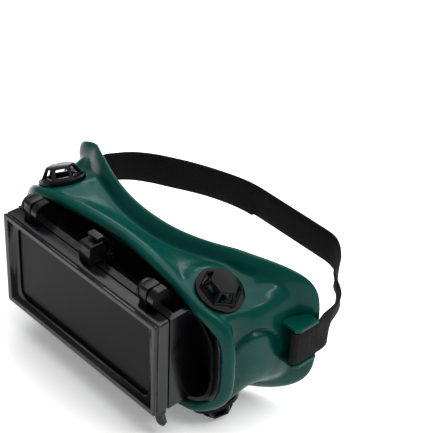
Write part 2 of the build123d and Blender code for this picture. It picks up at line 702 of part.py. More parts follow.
# Head strap: one elastic band, wrapped round both lug bars and led round the head
inner_x = LUG_BAR_X - STRAP_GAP / 2 - STRAP_T / 2
outer_x = LUG_BAR_X + LUG_BAR_T + STRAP_GAP / 2 + STRAP_T / 2
wrap_y = LUG_FRONT_Y - STRAP_T - STRAP_GAP / 2
wrap_r = (outer_x - inner_x) / 2 - 0.01
strap_route = (
    (inner_x, STRAP_END_Y, 0),
    (inner_x, wrap_y, wrap_r),
    (outer_x, wrap_y, wrap_r),
    (outer_x + 0.2, 84, 8),
    (81, 105, 12),
    (66, 120, 12),
    (52, STRAP_BACK_Y, 9),
    (-20, STRAP_BACK_Y + 0.5, 12),
    (-46, 129, 20),
    (-74, 113, 16),
    (-84, 105, 12),
    (-outer_x, 93, 7),
    (-outer_x, wrap_y, wrap_r),
    (-inner_x, wrap_y, wrap_r),
    (-inner_x, STRAP_END_Y, 0),
)
strap_corners = [(x, y) for x, y, r in strap_route]
strap_radii = [r for x, y, r in strap_route[1:-1]]
strap_start = (inner_x, STRAP_END_Y, STRAP_CENTRE_Z)
strap_end = Plane(origin=strap_start, x_dir=(1, 0, 0), z_dir=(0, -1, 0))
with BuildPart() as head_strap:
    with BuildLine(Plane.XY.offset(STRAP_CENTRE_Z)) as strap_path:
        FilletPolyline(*strap_corners, radius=strap_radii)
    with BuildSketch(strap_end):
        Rectangle(STRAP_T, STRAP_W)
    sweep()
save(head_strap, "head_strap")

# Strap slider: a flat three-bar buckle round the strap, behind the left lug
with BuildPart() as strap_slider:
    with BuildSketch(upright(SLIDER_Y + SLIDER_L / 2)):
        with Locations((-outer_x, STRAP_CENTRE_Z)):
            Rectangle(SLIDER_T, STRAP_W + 2 * STRAP_GAP + 2 * SLIDER_BAR)
            Rectangle(STRAP_T + 2 * SLIDER_GAP, STRAP_W + 2 * STRAP_GAP, mode=Mode.SUBTRACT)
    extrude(amount=SLIDER_L)
    bar_gap = (SLIDER_L - 3 * SLIDER_BAR_Y) / 2
    with BuildSketch(across(-outer_x - SLIDER_T / 2)):
        for side in (-1, 1):
            with Locations((SLIDER_Y + side * (SLIDER_BAR_Y + bar_gap) / 2, STRAP_CENTRE_Z)):
                Rectangle(bar_gap, STRAP_W - 2 * SLIDER_BAR)
    extrude(amount=SLIDER_T, mode=Mode.SUBTRACT)
save(strap_slider, "strap_slider")
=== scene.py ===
"""Looks of the flip-front welding goggles: soft mask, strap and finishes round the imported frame.

Sizes are in millimetres and are turned into metres where a mesh is made.
"""

import json
import math

import bmesh
import bpy
import numpy as np
from mathutils import Matrix, Vector


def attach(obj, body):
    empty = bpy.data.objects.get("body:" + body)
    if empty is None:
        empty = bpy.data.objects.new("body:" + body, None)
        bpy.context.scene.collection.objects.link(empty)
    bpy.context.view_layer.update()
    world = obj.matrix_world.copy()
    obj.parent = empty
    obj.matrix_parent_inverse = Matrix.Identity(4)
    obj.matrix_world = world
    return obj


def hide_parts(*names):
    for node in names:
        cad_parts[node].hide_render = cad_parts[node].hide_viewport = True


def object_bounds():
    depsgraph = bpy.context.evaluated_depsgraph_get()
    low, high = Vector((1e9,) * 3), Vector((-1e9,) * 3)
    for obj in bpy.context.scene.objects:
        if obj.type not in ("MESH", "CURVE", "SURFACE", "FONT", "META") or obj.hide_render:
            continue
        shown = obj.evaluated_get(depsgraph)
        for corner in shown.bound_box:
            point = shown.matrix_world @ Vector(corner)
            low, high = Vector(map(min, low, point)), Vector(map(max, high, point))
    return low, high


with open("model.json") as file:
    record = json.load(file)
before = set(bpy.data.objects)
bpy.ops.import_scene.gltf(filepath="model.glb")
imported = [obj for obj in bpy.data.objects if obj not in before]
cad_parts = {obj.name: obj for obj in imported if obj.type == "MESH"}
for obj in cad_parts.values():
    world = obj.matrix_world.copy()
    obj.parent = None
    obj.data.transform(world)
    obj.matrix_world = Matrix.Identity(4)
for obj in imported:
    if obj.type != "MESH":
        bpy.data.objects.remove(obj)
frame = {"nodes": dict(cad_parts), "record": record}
cad_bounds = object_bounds()
MM = 0.001

# Mask: lip, waist and face seal
LIP_Y = 22.0
LIP_SIDE_SWEEP = 6.0
LIP_CENTRE_SWEEP = 4.5
LIP_STRAIGHT_X = 62.0
LIP_HALF_W = 82.0
SEAL_Y = 51.0
SEAL_RADIUS = 140.0
NOSE_HALF_W = 17.0
BROW_X = 50.0
LIP_POWER = 3.4
SEAL_TOP_POWER = 5.4
SEAL_BOTTOM_POWER = 4.2
RING_POINTS = 176

# Vents
VENT_X = 61.0
VENT_Y = 39.5
VENT_TOP_Z = 31.0
VENT_BOTTOM_Z = -38.0
VENT_AXIS = (0.39, 0.09, 0.91)
VENT_PAD_R = 13.2
VENT_PAD_BLEND = 10.0
VENT_PAD_DROP = 0.3
VENT_PAD_FALL = 0.09

# Strap and lugs
STRAP_W = 20.0
STRAP_T = 1.4
STRAP_EDGE = 0.35
STRAP_Z = 0.0
STRAP_GAP = 0.4
LUG_BAR_X = 88.4
LUG_BAR_T = 2.2
LUG_FRONT_Y = 65.0
LUG_BACK_Y = 78.0
LUG_FIN_X = 92.6
LUG_ROOT_X = 76.0
LUG_FIN_T = 2.0
LUG_EDGE = 0.5
STRAP_BACK_Y = 137.5
STRAP_END_Y = 75.0

# Camera: where it looks, from which side, how far off and with what lens
CAMERA_TARGET = (25.8, 69.4, 41.7)
CAMERA_AZIMUTH = 45.69
CAMERA_ELEVATION = 35.76
CAMERA_DISTANCE = 696.6
CAMERA_LENS = 115.76
CAMERA_ROLL = 2.61
SENSOR_W = 36.0


def smooth_step(low, high, value):
    """0 below low, 1 above high, and an even S between."""
    share = np.clip((value - low) / (high - low), 0.0, 1.0)
    return share * share * (3 - 2 * share)


def mesh_piece(name, points, faces, body, smooth=True):
    """A mesh object from points in millimetres, made to ride on a body."""
    mesh = bpy.data.meshes.new(name)
    mesh.from_pydata([tuple(float(c) * MM for c in p) for p in points], [], faces)
    shape = bmesh.new()
    shape.from_mesh(mesh)
    bmesh.ops.remove_doubles(shape, verts=shape.verts, dist=1e-6)
    bmesh.ops.recalc_face_normals(shape, faces=shape.faces)
    shape.to_mesh(mesh)
    shape.free()
    if smooth:
        mesh.shade_smooth()
    piece = bpy.data.objects.new(name, mesh)
    bpy.context.scene.collection.objects.link(piece)
    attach(piece, body)
    return piece


def grid_faces(rows, columns, closed_rows):
    """Quads over a grid of points numbered row by row, closed from last column to first."""
    faces = []
    for row in range(rows if closed_rows else rows - 1):
        here, ahead = row * columns, (row + 1) % rows * columns
        for column in range(columns):
            after = (column + 1) % columns
            faces.append((here + column, here + after, ahead + after, ahead + column))
    return faces


def add_modifier(piece, kind, **settings):
    """Add a modifier and set its values."""
    modifier = piece.modifiers.new(kind.title(), kind)
    for key, value in settings.items():
        setattr(modifier, key, value)
    return modifier


# ---------------------------------------------------------------- materials


class Finish:
    """A node material with one Principled shader, and short ways to add to it."""

    def __init__(self, name, color, roughness, **sockets):
        self.material = bpy.data.materials.new(name)
        self.material.use_nodes = True
        self.nodes = self.material.node_tree.nodes
        self.links = self.material.node_tree.links
        self.shader = self.nodes["Principled BSDF"]
        self.shader.inputs["Base Color"].default_value = (*color, 1)
        self.shader.inputs["Roughness"].default_value = roughness
        for key, value in sockets.items():
            self.shader.inputs[key.replace("_", " ")].default_value = value
        self.where = self.nodes.new("ShaderNodeTexCoord").outputs["Object"]

    def noise(self, scale, detail=3.0, stretch=None):
        """A noise pattern of the given scale, per metre."""
        source = self.where
        if stretch:
            mapping = self.nodes.new("ShaderNodeMapping")
            mapping.inputs["Scale"].default_value = stretch
            self.links.new(source, mapping.inputs["Vector"])
            source = mapping.outputs["Vector"]
        noise = self.nodes.new("ShaderNodeTexNoise")
        noise.inputs["Scale"].default_value = scale
        noise.inputs["Detail"].default_value = detail
        self.links.new(source, noise.inputs["Vector"])
        return noise.outputs["Fac"]

    def remap(self, value, low, high, start=0.3, end=0.7):
        """Spread a pattern between two values."""
        remap = self.nodes.new("ShaderNodeMapRange")
        remap.inputs["From Min"].default_value = start
        remap.inputs["From Max"].default_value = end
        remap.inputs["To Min"].default_value = low
        remap.inputs["To Max"].default_value = high
        self.links.new(value, remap.inputs["Value"])
        return remap.outputs["Result"]

    def blend_colors(self, factor, low, high):
        """Mix two colours by a pattern."""
        mix = self.nodes.new("ShaderNodeMix")
        mix.data_type = "RGBA"
        mix.inputs["A"].default_value = (*low, 1)
        mix.inputs["B"].default_value = (*high, 1)
        self.links.new(factor, mix.inputs["Factor"])
        return mix.outputs["Result"]

    def color(self, output):
        self.links.new(output, self.shader.inputs["Base Color"])

    def roughness(self, output):
        self.links.new(output, self.shader.inputs["Roughness"])

    def bump(self, height, strength, distance):
        """Raise the surface by a pattern, in metres."""
        bump = self.nodes.new("ShaderNodeBump")
        bump.inputs["Strength"].default_value = strength
        bump.inputs["Distance"].default_value = distance
        self.links.new(height, bump.inputs["Height"])
        self.links.new(bump.outputs["Normal"], self.shader.inputs["Normal"])


def vinyl_finish():
    """Soft green vinyl: satin, faintly mottled, with a fine moulded skin."""
    vinyl = Finish(
        "green_vinyl", (0.0, 0.05, 0.04), 0.3,
        Specular_IOR_Level=0.13, Coat_Weight=0.12, Coat_Roughness=0.08,
    )
    mottle = vinyl.remap(vinyl.noise(38, 2), 0, 1)
    vinyl.color(vinyl.blend_colors(mottle, (0.0, 0.05, 0.04), (0.0, 0.062, 0.051)))
    vinyl.roughness(vinyl.remap(vinyl.noise(160, 4), 0.25, 0.33))
    vinyl.bump(vinyl.noise(1100, 3), 0.1, 0.0002)
    return vinyl.material


def gloss_finish(name, shine):
    """Glossy black moulding with faint flow marks and fine scuffs."""
    gloss = Finish(
        name, (0.003, 0.003, 0.004), 0.2,
        Specular_IOR_Level=shine, Coat_Weight=shine / 8, Coat_Roughness=0.08,
    )
    flow = gloss.remap(gloss.noise(60, 2), 0, 1)
    gloss.color(gloss.blend_colors(flow, (0.0022, 0.0022, 0.003), (0.0045, 0.0045, 0.0058)))
    gloss.roughness(gloss.remap(gloss.noise(240, 5), 0.17, 0.24))
    gloss.bump(gloss.noise(1600, 2), 0.05, 0.00015)
    return gloss.material


def edge_highlight_finish(name, low, high):
    """Black moulding painted paler along its outer edges: a painted highlight for the light the edges
    catch.
    """
    edge = Finish(name, high, 0.3, Specular_IOR_Level=0.5)
    edge.color(edge.blend_colors(edge.remap(edge.noise(90, 4), 0, 1), low, high))
    edge.roughness(edge.remap(edge.noise(400, 4), 0.24, 0.4))
    edge.bump(edge.noise(2000, 2), 0.1, 0.0001)
    return edge.material


def matte_finish():
    """Satin black moulding with a fine spark-eroded grain."""
    matte = Finish("black_satin", (0.004, 0.004, 0.005), 0.36, Specular_IOR_Level=0.4)
    grain = matte.remap(matte.noise(120, 3), 0, 1)
    matte.color(matte.blend_colors(grain, (0.003, 0.0028, 0.0036), (0.0055, 0.0052, 0.0064)))
    matte.roughness(matte.remap(matte.noise(500, 4), 0.3, 0.42))
    matte.bump(matte.noise(2600, 2), 0.2, 0.0001)
    return matte.material


def webbing_finish():
    """Woven elastic: ribs across the band and cords along it."""
    webbing = Finish("woven_elastic", (0.006, 0.006, 0.006), 0.85, Specular_IOR_Level=0.15)
    coordinates = webbing.nodes.new("ShaderNodeUVMap")
    coordinates.uv_map = "band"
    waves = []
    for direction, scale in (("X", 230.0), ("Y", 190.0)):
        wave = webbing.nodes.new("ShaderNodeTexWave")
        wave.bands_direction = direction
        wave.inputs["Scale"].default_value = scale
        wave.inputs["Distortion"].default_value = 0.4
        webbing.links.new(coordinates.outputs["UV"], wave.inputs["Vector"])
        waves.append(wave.outputs["Fac"])
    weave = webbing.nodes.new("ShaderNodeMath")
    weave.operation = "MULTIPLY"
    webbing.links.new(waves[0], weave.inputs[0])
    webbing.links.new(waves[1], weave.inputs[1])
    raised = weave.outputs["Value"]
    webbing.color(webbing.blend_colors(raised, (0.012, 0.012, 0.012), (0.026, 0.026, 0.026)))
    webbing.bump(raised, 0.4, 0.0002)
    return webbing.material


def thread_finish():
    """Black sewing thread."""
    thread = Finish("black_thread", (0.012, 0.012, 0.013), 0.6)
    thread.roughness(thread.remap(thread.noise(2500, 2), 0.5, 0.7))
    thread.bump(thread.noise(5000, 1), 0.3, 0.0001)
    return thread.material


def shade_finish():
    """Dark polished welding plate."""
    shade = Finish("shade_plate", (0.006, 0.006, 0.007), 0.22, Specular_IOR_Level=0.26)
    tint = shade.remap(shade.noise(25, 1), 0, 1)
    shade.color(shade.blend_colors(tint, (0.003, 0.003, 0.0038), (0.0045, 0.0045, 0.0056)))
    shade.roughness(shade.remap(shade.noise(90, 4), 0.2, 0.26))
    return shade.material


def clear_finish():
    """Fixed clear plate: nearly see-through, with a polished face."""
    clear = Finish("clear_plate", (0.1, 0.11, 0.11), 0.12, Alpha=0.025, Specular_IOR_Level=0.2)
    clear.roughness(clear.remap(clear.noise(140, 3), 0.1, 0.14))
    return clear.material


def backed_clear_finish():
    """Cover plate: it lies on the dark plate, so the dark and its own gloss are all it shows."""
    backed = Finish("clear_on_dark", (0.004, 0.004, 0.005), 0.2, Specular_IOR_Level=0.1)
    tint = backed.remap(backed.noise(25, 1), 0, 1)
    backed.color(backed.blend_colors(tint, (0.0026, 0.0025, 0.0036), (0.0034, 0.0032, 0.0048)))
    backed.roughness(backed.remap(backed.noise(90, 4), 0.18, 0.24))
    return backed.material


def rubber_finish():
    """Dull black foam rubber."""
    rubber = Finish("foam_rubber", (0.01, 0.01, 0.01), 0.85)
    rubber.bump(rubber.noise(1500, 3), 0.4, 0.0003)
    rubber.roughness(rubber.remap(rubber.noise(300, 2), 0.78, 0.92))
    return rubber.material


def steel_finish():
    """Dark drawn steel with fine lines round it."""
    steel = Finish("drawn_steel", (0.2, 0.2, 0.21), 0.35, Metallic=1.0)
    steel.roughness(steel.remap(steel.noise(600, 3, (12, 1, 1)), 0.28, 0.45))
    return steel.material


FINISHES = {
    "soft_mask": vinyl_finish(),
    "black_gloss": gloss_finish("black_gloss", 0.46),
    "black_matte": matte_finish(),
    "clear_plate": clear_finish(),
    "shade": shade_finish(),
    "gasket": rubber_finish(),
    "steel": steel_finish(),
    "webbing": webbing_finish(),
}

CAP_FINISH = gloss_finish("black_cap", 0.14)
# Paler finishes for the broken edges of the black mouldings: a painted highlight along the edges.
PAINTED_EDGE_HIGHLIGHTS = {
    "black_gloss": edge_highlight_finish("gloss_edge_painted_highlight", (0.02, 0.02, 0.022), (0.055, 0.055, 0.06)),
    "black_matte": edge_highlight_finish("satin_edge_painted_highlight", (0.006, 0.006, 0.007), (0.018, 0.018, 0.02)),
}


def dress_cad_nodes():
    """Give every CAD node the finish of its material slot."""
    for row in frame["record"]["subparts"]:
        mesh = frame["nodes"][row["node"]].data
        mesh.materials.clear()
        mesh.materials.append(FINISHES[row["material_slot"]])
    frame["nodes"]["cover_plate"].data.materials[0] = backed_clear_finish()


# ---------------------------------------------------------------- mouldings

EDGE_ANGLE = math.radians(38)
# CAD node: its body, its material slot and the radius broken on its edges
MOULDINGS = {
    "flip_frame": ("flip", "black_gloss", 0.5),
    "hinge_block_left": ("flip", "black_matte", 0.4),
    "hinge_block_right": ("flip", "black_matte", 0.4),
    "latch_block": ("flip", "black_matte", 0.4),
    "latch_lever": ("latch", "black_matte", 0.25),
    "lift_tab": ("flip", "black_matte", 0.25),
    "vent_cap_top_left": ("mask", "black_gloss", 0.3),
    "vent_cap_top_right": ("mask", "black_gloss", 0.3),
    "vent_cap_bottom_left": ("mask", "black_gloss", 0.3),
    "vent_cap_bottom_right": ("mask", "black_gloss", 0.3),
}


def make_mouldings():
    """Copies of the hard black pieces with their edges broken, so that they catch the light; the broken
    edges also take a paler finish, a painted highlight.
    """
    for node, (body, slot, radius) in MOULDINGS.items():
        mesh = frame["nodes"][node].data.copy()
        shape = bmesh.new()
        shape.from_mesh(mesh)
        bmesh.ops.remove_doubles(shape, verts=shape.verts, dist=2e-6)
        weight = shape.edges.layers.float.new("bevel_weight_edge")
        for edge in shape.edges:
            if len(edge.link_faces) == 2 and edge.is_convex and edge.calc_face_angle() > EDGE_ANGLE:
                edge[weight] = 1.0
        shape.to_mesh(mesh)
        shape.free()
        mesh.shade_smooth()
        mesh.set_sharp_from_angle(angle=EDGE_ANGLE)
        piece = bpy.data.objects.new(f"{node}_moulding", mesh)
        bpy.context.scene.collection.objects.link(piece)
        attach(piece, body)
        # The bevelled faces take the second material, the painted edge highlight.
        add_modifier(
            piece, "BEVEL", width=radius * MM, segments=2, limit_method="WEIGHT",
            harden_normals=True, material=1,
        )
        mesh.materials.clear()
        mesh.materials.append(CAP_FINISH if node.startswith("vent_cap") else FINISHES[slot])
        mesh.materials.append(PAINTED_EDGE_HIGHLIGHTS[slot])
        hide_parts(node)


# ---------------------------------------------------------------- mask


def quarter_turns():
    """Angles that space points evenly along a quarter of a squared-off oval."""
    fine = np.linspace(0, math.pi / 2, 2000)
    x = LIP_HALF_W * np.cos(fine) ** (2 / LIP_POWER)
    z = LIP_HALF_W / 2 * np.sin(fine) ** (2 / LIP_POWER)
    run = np.concatenate([[0], np.cumsum(np.hypot(np.diff(x), np.diff(z)))])
    return np.interp(np.linspace(0, run[-1], RING_POINTS // 4 + 1), run, fine)


QUARTER = quarter_turns()


def ring_directions(top_power, bottom_power):
    """Shares of half-width and half-height round a squared-off oval, starting at +X."""
    across, up = [], []
    for side in range(4):
        turns = QUARTER[:-1] if side % 2 == 0 else QUARTER[::-1][:-1]
        power = top_power if side < 2 else bottom_power
        across.append(np.cos(turns) ** (2 / power) * (1 if side in (0, 3) else -1))
        up.append(np.sin(turns) ** (2 / power) * (1 if side < 2 else -1))
    return np.concatenate(across), np.concatenate(up)


def lip_front(x, z):
    """How far back the front of the lip lies."""
    side = smooth_step(LIP_STRAIGHT_X, LIP_HALF_W, np.abs(x))
    centre = 1 - smooth_step(0, LIP_STRAIGHT_X, np.abs(x))
    return LIP_Y + LIP_SIDE_SWEEP * side + LIP_CENTRE_SWEEP * centre


def face_line(x):
    """How far back the face seal lies."""
    return SEAL_Y + SEAL_RADIUS - np.sqrt(SEAL_RADIUS**2 - np.minimum(np.abs(x), SEAL_RADIUS - 1) ** 2)


def mask_ring(half_w, top, bottom, nose, brow, square, share, back):
    """One ring of the mask: share 0 follows the lip, 1 follows the face line."""
    top_power = LIP_POWER + square * (SEAL_TOP_POWER - LIP_POWER)
    bottom_power = LIP_POWER + square * (SEAL_BOTTOM_POWER - LIP_POWER)
    across, up = ring_directions(top_power, bottom_power)
    mid = (top + bottom) / 2
    x = half_w * across
    z = mid + (top - mid) * up
    z = z + np.where(up < 0, nose * np.exp(-((x / NOSE_HALF_W) ** 2)), 0)
    z = z + np.where(up > 0, brow * up * np.minimum((x / BROW_X) ** 2, 1), 0)
    y = (1 - share) * lip_front(x, z) + share * face_line(x) + back
    return np.stack([x, y, z], axis=1)


# Rings from inside the front opening, over the lip, back to the seal and in again:
# half-width, top, bottom, nose arch, brow, squareness, share of the face line, extra depth
MASK_RINGS = (
    (75.3, 32.3, -37.3, 0, 0, 0, 0.0, 6.5),
    (75.3, 32.3, -37.3, 0, 0, 0, 0.0, 2.2),
    (76.0, 33.0, -38.0, 0, 0, 0, 0.0, 0.5),
    (77.8, 34.8, -39.6, 0, 0, 0, 0.0, -0.3),
    (80.0, 36.6, -41.2, 0, 0, 0, 0.0, 0.1),
    (81.7, 37.8, -42.3, 0, 0, 0, 0.0, 1.7),
    (82.1, 38.1, -42.5, 0, 0, 0, 0.0, 3.6),
    (81.2, 37.9, -41.8, 0, 0, 0, 0.0, 5.2),
    (78.8, 37.2, -40.4, 0, 0, 0, 0.01, 6.4),
    (75.2, 36.2, -38.4, 1, 0.2, 0, 0.03, 7.2),
    (75.2, 34.8, -37.6, 3, 1.0, 0.1, 0.12, 6.6),
    (78.0, 33.2, -37.2, 6, 2.4, 0.2, 0.26, 4.6),
    (79.8, 31.8, -37.4, 10, 3.8, 0.4, 0.41, 2.6),
    (81.0, 30.7, -38.2, 13, 4.6, 0.6, 0.57, 1.0),
    (81.6, 30.2, -39.2, 15, 4.6, 0.8, 0.75, -0.8),
    (82.2, 30.6, -40.2, 17, 4.2, 1, 1.0, -6.4),
    (83.4, 31.8, -41.6, 18, 4.0, 1, 1.0, -5.4),
    (85.8, 34.6, -44.0, 19, 4.0, 1, 1.0, -3.8),
    (88.2, 36.6, -46.6, 20, 4.0, 1, 1.0, -1.8),
    (88.9, 37.0, -47.4, 20, 4.0, 1, 1.0, -0.3),
    (88.2, 36.4, -46.8, 20, 4.0, 1, 1.0, 0.8),
    (82.0, 31.4, -40.8, 20, 4.0, 1, 1.0, 0.4),
    (78.6, 28.6, -37.2, 19, 3.6, 1, 1.0, -1.2),
    (77.2, 27.8, -35.6, 16, 2.5, 1, 1.0, -7.0),
    (75.4, 27.4, -34.4, 7, 1.0, 0.6, 0.7, -1.0),
    (73.0, 29.4, -34.6, 1, 0, 0.2, 0.34, 4.0),
    (74.0, 32.2, -37.2, 0, 0, 0, 0.1, 8.2),
)
PAD_RINGS = range(7, 16)
# How much of the corner's bend each ring of the face seal takes
FLANGE_RINGS = {14: 0.2, 15: 0.45, 16: 0.7, 17: 0.9, 18: 1.0, 19: 1.0, 20: 1.0, 21: 0.6, 22: 0.3}
# How far the left upper corner of the face seal bends, and which way
HORN_CURL = 7.0
HORN_BEND = (0.15, 1, 0.1)


def vent_frames():
    """Place and outward direction of each vent."""
    frames = {}
    for level, z, up in (("top", VENT_TOP_Z, 1), ("bottom", VENT_BOTTOM_Z, -1)):
        for side, sign in (("left", -1), ("right", 1)):
            out = np.array([sign * VENT_AXIS[0], VENT_AXIS[1], up * VENT_AXIS[2]])
            frames[f"{level}_{side}"] = (np.array([sign * VENT_X, VENT_Y, z]), out / np.linalg.norm(out))
    return frames


def raise_vent_pads(points):
    """Lift the mask into flat round pads under the vents, falling away at their rims."""
    for place, out in vent_frames().values():
        away = points - place
        height = away @ out
        radial = np.linalg.norm(away - np.outer(height, out), axis=1)
        share = 1 - smooth_step(VENT_PAD_R, VENT_PAD_R + VENT_PAD_BLEND, radial)
        share = share * (np.abs(height) < VENT_PAD_R) * smooth_step(24, 30, points[:, 1])
        fall = VENT_PAD_FALL * np.maximum(radial - VENT_PAD_R, 0) ** 2
        points = points - np.outer(share * (height + VENT_PAD_DROP + fall), out)
    return points


# Cheek lobe: its middle, half-length and half-height, how far it swells and tucks in, and
# the depth of its crease, with the crease's place and width as shares of the lobe
LOBE_Y = 49.0
LOBE_Z = -8.0
LOBE_HALF_L = 13.5
LOBE_HALF_H = 19.0
LOBE_SWELL = 1.8
LOBE_TUCK = 0.8
CREASE_DEPTH = 1.9
CREASE_AT = 1.03
CREASE_W = 0.07


def cheek_lobes(points, normals):
    """The lower side lobes: a slight swelling under an arched crease, on the outer wall only."""
    x, y, z = points.T
    outside = smooth_step(0.1, 0.5, normals[:, 0] * np.sign(x)) * smooth_step(66, 74, np.abs(x))
    along = smooth_step(33, 37, y) * (1 - smooth_step(58, 66, y))
    away = np.hypot((y - LOBE_Y) / LOBE_HALF_L, (z - LOBE_Z) / LOBE_HALF_H)
    inside = 1 - smooth_step(0.86, 1.0, away)
    push = LOBE_SWELL * inside * (1 - smooth_step(-22, 6, -z)) - LOBE_TUCK * smooth_step(-6, 30, -z)
    crease = -CREASE_DEPTH * np.exp(-(((away - CREASE_AT) / CREASE_W) ** 2)) * smooth_step(-16, -6, z)
    shift = (push + crease) * outside * along * np.sign(x)
    return points + np.outer(shift, (1, 0, 0))


def curl_horn(points, weight):
    """Bend the left upper corner of the face seal forward, as soft vinyl does."""
    x, _, z = points.T
    share = smooth_step(66, 84, -x) * smooth_step(6, 26, z) * weight
    return points - np.outer(share * HORN_CURL, HORN_BEND)


def make_mask():
    """The soft mask: one closed shell from lip to face seal."""
    rings = []
    for index, values in enumerate(MASK_RINGS):
        ring = mask_ring(*values)
        if index in PAD_RINGS:
            ring = raise_vent_pads(ring)
        ring = curl_horn(ring, FLANGE_RINGS.get(index, 0.0))
        rings.append(ring)
    points = np.concatenate(rings)
    mask = mesh_piece("mask_shell", points, grid_faces(len(rings), RING_POINTS, True), "mask")
    rounded = add_modifier(mask, "SUBSURF", levels=2, render_levels=2)
    shaped = mask.evaluated_get(bpy.context.evaluated_depsgraph_get())
    mask.data = bpy.data.meshes.new_from_object(shaped)
    mask.modifiers.remove(rounded)
    vertices = mask.data.vertices
    places = np.array([vertex.co for vertex in vertices]) / MM
    normals = np.array([vertex.normal for vertex in vertices])
    vertices.foreach_set("co", (cheek_lobes(places, normals) * MM).ravel())
    mask.data.materials.append(FINISHES["soft_mask"])
    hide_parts("mask_body")


def make_lugs():
    """Chevron fins above and below the strap on each side."""
    for side, sign in (("left", -1), ("right", 1)):
        plan = (
            (LUG_ROOT_X, LUG_FRONT_Y - 1.8),
            (LUG_ROOT_X + 8.0, LUG_FRONT_Y - 1.6),
            (LUG_FIN_X - 1.4, LUG_FRONT_Y - 2.0),
            (LUG_FIN_X + 0.2, LUG_FRONT_Y + 0.6),
            (LUG_FIN_X + 0.2, LUG_BACK_Y),
            (LUG_ROOT_X, LUG_BACK_Y + 1.0),
        )
        half = STRAP_W / 2 + STRAP_GAP
        points, faces = [], []
        for low, high in (
            (STRAP_Z - half - LUG_FIN_T, STRAP_Z - half),
            (STRAP_Z + half, STRAP_Z + half + LUG_FIN_T),
        ):
            start = len(points)
            count = len(plan)
            points += [(sign * x, y, low) for x, y in plan] + [(sign * x, y, high) for x, y in plan]
            faces += [tuple(range(start, start + count)), tuple(range(start + count, start + 2 * count))]
            for corner in range(count):
                after = (corner + 1) % count
                low_edge = (start + corner, start + after)
                faces.append((*low_edge, start + count + after, start + count + corner))
        fins = mesh_piece(f"strap_lug_{side}", points, faces, "mask", smooth=False)
        add_modifier(fins, "BEVEL", width=LUG_EDGE * MM, segments=3)
        fins.data.materials.append(FINISHES["soft_mask"])
        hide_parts("mask_body")


# ---------------------------------------------------------------- strap

INNER_X = LUG_BAR_X - STRAP_GAP / 2 - STRAP_T / 2
OUTER_X = LUG_BAR_X + LUG_BAR_T + STRAP_GAP / 2 + STRAP_T / 2
WRAP_Y = LUG_FRONT_Y - STRAP_T - STRAP_GAP / 2
WRAP_R = (OUTER_X - INNER_X) / 2 - 0.01
STRAP_STEP = 0.8
# Plan points of the strap with the radius at each: 0 asks for as soft a bend as fits
STRAP_ROUTE = (
    (INNER_X, STRAP_END_Y, 0),
    (INNER_X, WRAP_Y, WRAP_R),
    (OUTER_X, WRAP_Y, WRAP_R),
    (OUTER_X + 0.2, 84, 0),
    (81, 105, 0),
    (66, 120, 0),
    (52, STRAP_BACK_Y, 0),
    (-20, STRAP_BACK_Y + 0.5, 0),
    (-46, 129, 0),
    (-74, 113, 0),
    (-84, 105, 0),
    (-OUTER_X, 93, 7),
    (-OUTER_X, WRAP_Y, WRAP_R),
    (-INNER_X, WRAP_Y, WRAP_R),
    (-INNER_X, STRAP_END_Y, 0),
)


def rounded_route(route, arc_steps=10):
    """Points along a plan route with an arc at each corner."""
    line = [np.array(route[0][:2], float)]
    for before, corner, after in zip(route, route[1:], route[2:]):
        here = np.array(corner[:2], float)
        back = np.array(before[:2]) - here
        ahead = np.array(after[:2]) - here
        back_run, ahead_run = np.linalg.norm(back), np.linalg.norm(ahead)
        back, ahead = back / back_run, ahead / ahead_run
        half = math.acos(np.clip(back @ ahead, -1, 1)) / 2
        radius = corner[2] or 0.45 * min(back_run, ahead_run) * math.tan(half)
        cut = radius / math.tan(half)
        centre = here + (back + ahead) / np.linalg.norm(back + ahead) * radius / math.sin(half)
        start, end = here + back * cut - centre, here + ahead * cut - centre
        first = math.atan2(start[1], start[0])
        sweep = (math.atan2(end[1], end[0]) - first + math.pi) % (2 * math.pi) - math.pi
        for step in range(arc_steps + 1):
            angle = first + sweep * step / arc_steps
            line.append(centre + radius * np.array([math.cos(angle), math.sin(angle)]))
    line.append(np.array(route[-1][:2], float))
    return np.array(line)


def resample(line, spacing):
    """Even points along a line, and the distance to each."""
    run = np.concatenate([[0], np.cumsum(np.linalg.norm(np.diff(line, axis=0), axis=1))])
    at = np.linspace(0, run[-1], int(run[-1] / spacing) + 1)
    return np.stack([np.interp(at, run, line[:, k]) for k in range(line.shape[1])], axis=1), at


